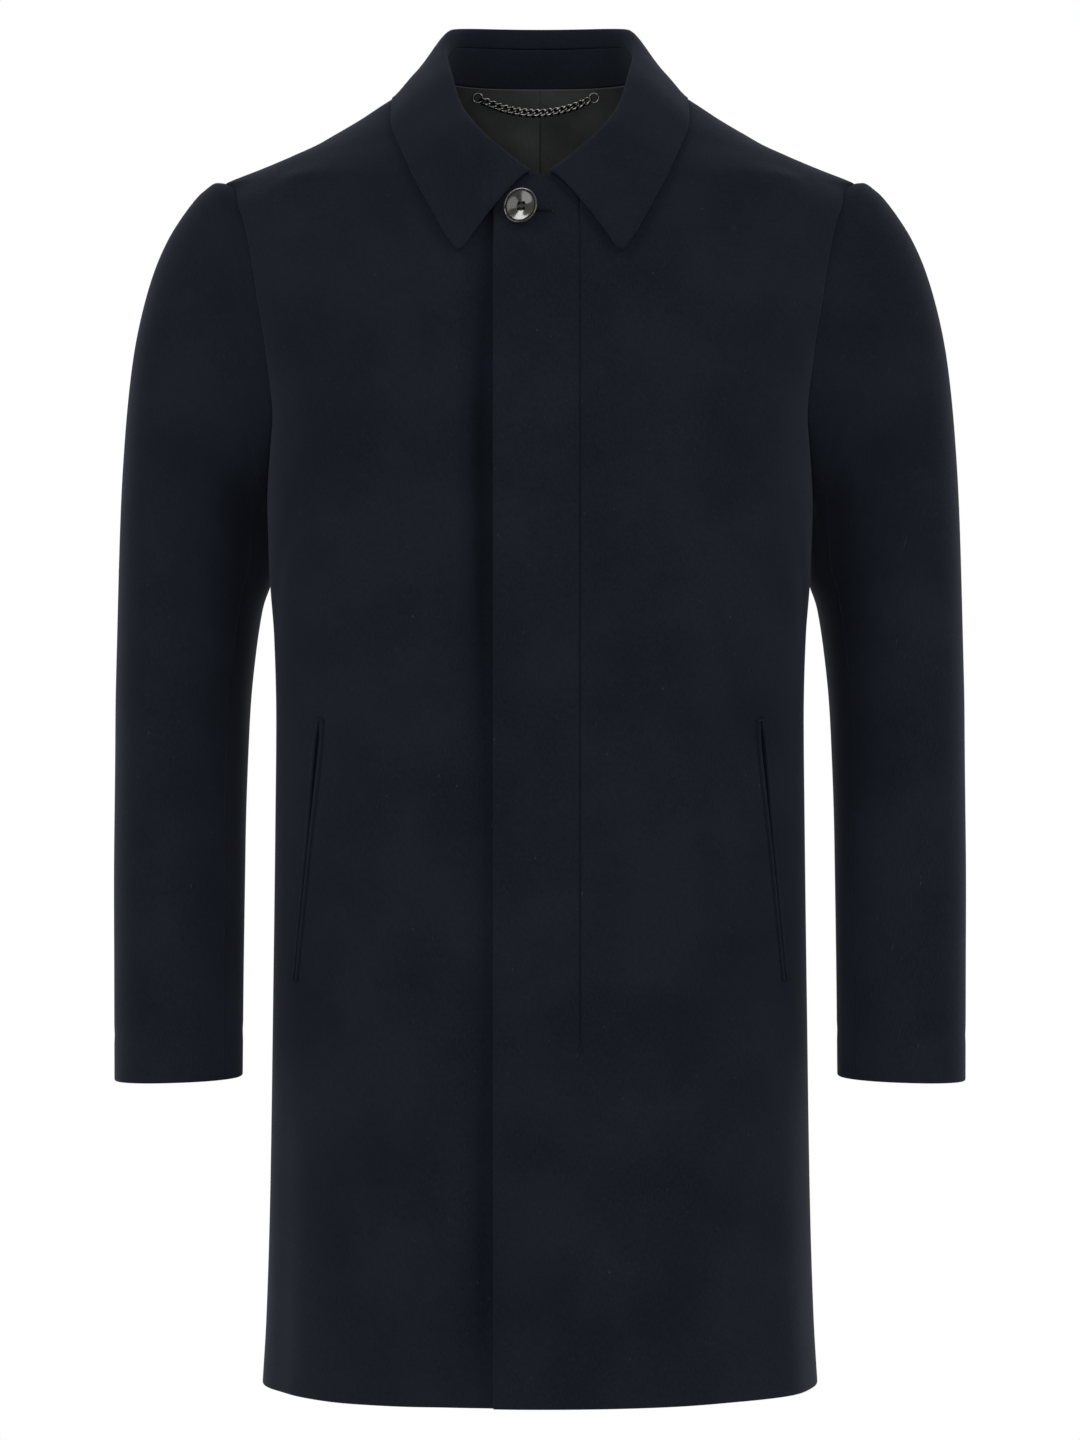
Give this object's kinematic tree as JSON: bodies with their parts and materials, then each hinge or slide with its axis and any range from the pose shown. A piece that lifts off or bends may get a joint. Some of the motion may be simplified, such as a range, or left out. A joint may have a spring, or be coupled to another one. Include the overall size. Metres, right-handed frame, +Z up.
{
  "type": "tailored coat",
  "caption": "Hollow thigh-length tailored coat with a turn-down collar, hidden fly with a neck button, slanted jetted pockets and a hanger chain, as worn.",
  "frame": {"origin": "middle of the neck opening at the height of the nape, where the wearer's shoulders carry the coat", "axes": "+Z up, -Y to the front, +X to the wearer's left"},
  "size_m": [0.6168, 0.295, 0.9949],
  "materials": {
    "wool": "matt navy wool with a short nap",
    "lining": "dark grey-green satin",
    "button": "polished dark horn look",
    "chain": "polished gunmetal plating"
  },
  "bodies": {
    "root": {"front_left": "wool", "front_right": "wool", "back_left": "wool", "back_right": "wool", "sleeve_left_top": "wool", "sleeve_left_under": "wool", "sleeve_right_top": "wool", "sleeve_right_under": "wool", "collar_fall": "wool", "collar_stand": "wool", "pocket_left_jet_front": "wool", "pocket_left_jet_back": "wool", "pocket_right_jet_front": "wool", "pocket_right_jet_back": "wool", "lining_left": "lining", "lining_right": "lining", "button": "button", "hanger_chain": "chain", "hanger_ring_left": "chain", "hanger_ring_right": "chain"}
  },
  "joints": []
}
